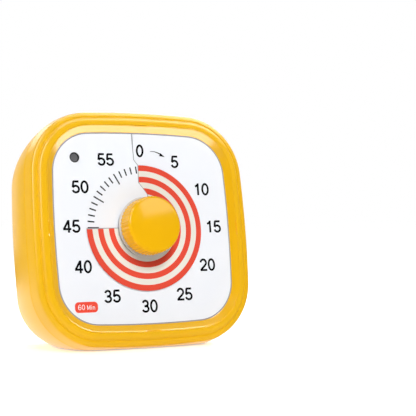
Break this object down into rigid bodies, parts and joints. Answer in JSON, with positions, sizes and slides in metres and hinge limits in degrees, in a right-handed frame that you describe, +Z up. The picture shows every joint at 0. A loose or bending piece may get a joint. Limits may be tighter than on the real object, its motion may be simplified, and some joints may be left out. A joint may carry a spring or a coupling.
{
  "type": "visual countdown timer",
  "caption": "Square countdown timer with a turning knob that winds a red and cream ringed disc out of a slit in its white minute dial; leans back on a flat base.",
  "frame": {"origin": "middle of the flat base that the timer stands on", "axes": "+Z up, the dial faces -Y and leans back 9 degrees, +X to the right of a user who faces the dial"},
  "size_m": [0.09, 0.0565, 0.0887],
  "materials": {
    "yellow_silicone": "soft satin silicone",
    "yellow_plastic": "satin moulded ABS",
    "dial_sheet": "smooth white sheet",
    "black_ink": "screen-printed ink",
    "grey_ink": "screen-printed ink",
    "red_ink": "screen-printed ink",
    "white_plastic": "moulded ABS",
    "smoked_lens": "smoked acrylic",
    "clear_plastic": "clear acrylic",
    "led_epoxy": "tinted epoxy",
    "dark_plastic": "fine-textured ABS",
    "steel": "bright steel",
    "spring_steel": "nickel-plated spring steel",
    "movement_plastic": "acetal",
    "brass": "turned brass",
    "nylon": "acetal",
    "disc_print": "printed flexible sheet with red and cream rings",
    "collar_plastic": "satin moulded ABS",
    "board_green": "solder mask",
    "black_plastic": "moulded ABS",
    "cell_sleeve": "printed sleeve on steel",
    "lead_rubber": "insulated wire"
  },
  "bodies": {
    "case": {"silicone_cover": "yellow_silicone", "front_bezel": "yellow_plastic", "dial_plate": "dial_sheet", "dial_numerals": "black_ink", "minute_marks": "grey_ink", "start_arrow": "black_ink", "range_badge": "red_ink", "backing_plate": "white_plastic", "indicator_lens": "smoked_lens", "light_pipe": "clear_plastic", "indicator_led": "led_epoxy", "rear_housing": "dark_plastic", "housing_screws": "steel", "movement_case": "movement_plastic", "movement_cover": "movement_plastic", "movement_screws": "steel", "shaft_bush": "brass", "idler_pin": "steel", "drive_motor": "steel", "circuit_board": "board_green", "board_screws": "steel", "buzzer": "black_plastic", "switch_frame": "steel", "battery_cell": "cell_sleeve", "spring_contact": "spring_steel", "plate_contact": "spring_steel", "battery_leads": "lead_rubber"},
    "knob": {"knob": "yellow_plastic", "knob_collar": "collar_plastic", "knob_shaft": "steel", "output_wheel": "nylon", "clutch_spring": "spring_steel", "clutch_collar": "brass", "shaft_clip": "spring_steel"},
    "disc": {"timer_disc": "disc_print", "disc_hub": "white_plastic"},
    "idler": {"idler_gear": "nylon"},
    "motor": {"motor_pinion": "brass"},
    "lever": {"switch_lever": "black_plastic"},
    "door": {"battery_door": "dark_plastic"}
  },
  "joints": [
    {"name": "knob_turn", "type": "hinge", "parent": "case", "child": "knob", "pos_m": [0, -0.0153, 0.0451], "axis": [0, -0.9877, 0.1564], "range_deg": [-90, 270]},
    {"name": "disc_rise", "type": "slide", "parent": "knob", "child": "disc", "axis": [0, -0.9877, 0.1564], "range_m": [-0.00092, 0.00032]},
    {"name": "idler_turn", "type": "hinge", "parent": "case", "child": "idler", "pos_m": [0.01631, -0.00661, 0.03602], "axis": [0, -0.9877, 0.1564], "range_deg": [-1352, 452]},
    {"name": "motor_turn", "type": "hinge", "parent": "case", "child": "motor", "pos_m": [0.02054, -0.00315, 0.04509], "axis": [0, -0.9877, 0.1564], "range_deg": [-1502, 4502]},
    {"name": "switch_slide", "type": "slide", "parent": "case", "child": "lever", "axis": [1, 0, 0], "range_m": [0, 0.0024]},
    {"name": "door_swing", "type": "hinge", "parent": "case", "child": "door", "pos_m": [0, 0.01941, 0.01368], "axis": [-1, 0, 0], "range_deg": [0, 110]}
  ],
  "couplings": [
    {"joint": "disc_rise", "follows": "knob_turn", "m_per_rad": -0.00019099},
    {"joint": "idler_turn", "follows": "knob_turn", "ratio": -5},
    {"joint": "motor_turn", "follows": "knob_turn", "ratio": 16.667}
  ]
}
